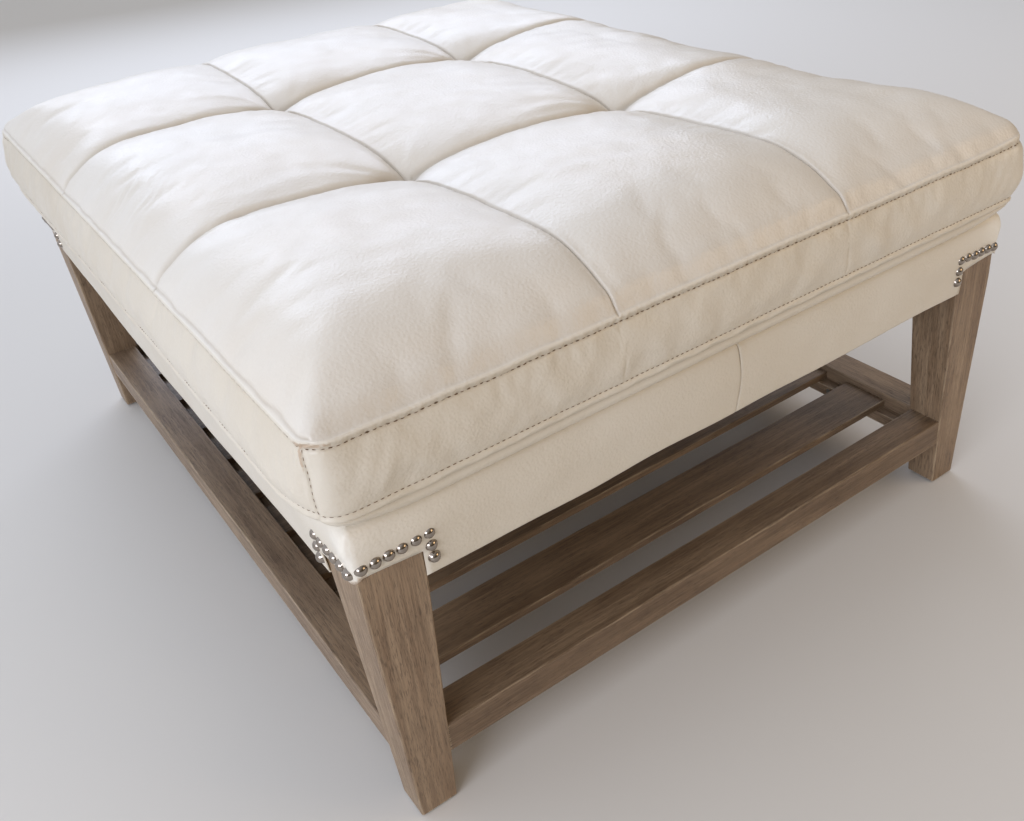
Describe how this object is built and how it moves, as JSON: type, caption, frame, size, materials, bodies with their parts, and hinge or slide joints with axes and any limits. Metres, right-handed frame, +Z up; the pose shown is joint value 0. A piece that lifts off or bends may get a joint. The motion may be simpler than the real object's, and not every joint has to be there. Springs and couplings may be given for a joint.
{
  "type": "ottoman coffee table",
  "caption": "Ottoman coffee table with a tufted, box-edged leather cushion, leather apron with dome nails, square tapered wooden legs and a slatted shelf.",
  "frame": {"origin": "on the floor under the middle of the table", "axes": "+Z up, -Y towards the front, +Y along the longer side, +X to the right"},
  "size_m": [0.92, 1.149, 0.5534],
  "materials": {
    "weathered_wood": "open grained, grey-brown weathered stain, satin",
    "frame_wood": "raw softwood and plywood",
    "top_leather": "ivory leather, fine grain, soft sheen",
    "side_leather": "ivory leather, fine grain, topstitched",
    "foam": "polyurethane foam",
    "fill": "polyester fibre",
    "lining_cloth": "woven lining",
    "dust_cloth": "black non-woven cloth",
    "polished_nails": "polished nickel",
    "zinc_steel": "zinc plated",
    "glide_plastic": "moulded nylon",
    "twine": "waxed twine"
  },
  "bodies": {
    "root": {"leg_front_left": "weathered_wood", "leg_front_right": "weathered_wood", "leg_back_left": "weathered_wood", "leg_back_right": "weathered_wood", "shelf_rail_front": "weathered_wood", "shelf_rail_back": "weathered_wood", "shelf_rail_left": "weathered_wood", "shelf_rail_right": "weathered_wood", "slat_1": "weathered_wood", "slat_2": "weathered_wood", "slat_3": "weathered_wood", "slat_4": "weathered_wood", "slat_5": "weathered_wood", "slat_6": "weathered_wood", "slat_7": "weathered_wood", "slat_8": "weathered_wood", "slat_9": "weathered_wood", "slat_cleat_left": "weathered_wood", "slat_cleat_right": "weathered_wood", "seat_rail_front": "frame_wood", "seat_rail_back": "frame_wood", "seat_rail_left": "frame_wood", "seat_rail_right": "frame_wood", "seat_cross_rail": "frame_wood", "corner_blocks": "frame_wood", "deck_board": "frame_wood", "shelf_rail_dowels": "frame_wood", "top_panel_front_left": "top_leather", "top_panel_front_centre": "top_leather", "top_panel_front_right": "top_leather", "top_panel_middle_left": "top_leather", "top_panel_middle_centre": "top_leather", "top_panel_middle_right": "top_leather", "top_panel_back_left": "top_leather", "top_panel_back_centre": "top_leather", "top_panel_back_right": "top_leather", "cushion_border_front": "side_leather", "cushion_border_back": "side_leather", "cushion_border_left": "side_leather", "cushion_border_right": "side_leather", "cushion_under_band": "side_leather", "apron_cover_left": "side_leather", "apron_cover_right": "side_leather", "cushion_foam_core": "foam", "fibre_fill": "fill", "cushion_base_cloth": "lining_cloth", "dust_cover": "dust_cloth", "decorative_nails": "polished_nails", "corner_block_screws": "zinc_steel", "deck_screws": "zinc_steel", "slat_screws": "zinc_steel", "cleat_screws": "zinc_steel", "dust_cover_staples": "zinc_steel", "hanger_bolts": "zinc_steel", "hanger_washers": "zinc_steel", "hanger_nuts": "zinc_steel", "foot_glides": "glide_plastic", "tuft_anchors": "glide_plastic", "tuft_ties": "twine"}
  },
  "joints": []
}
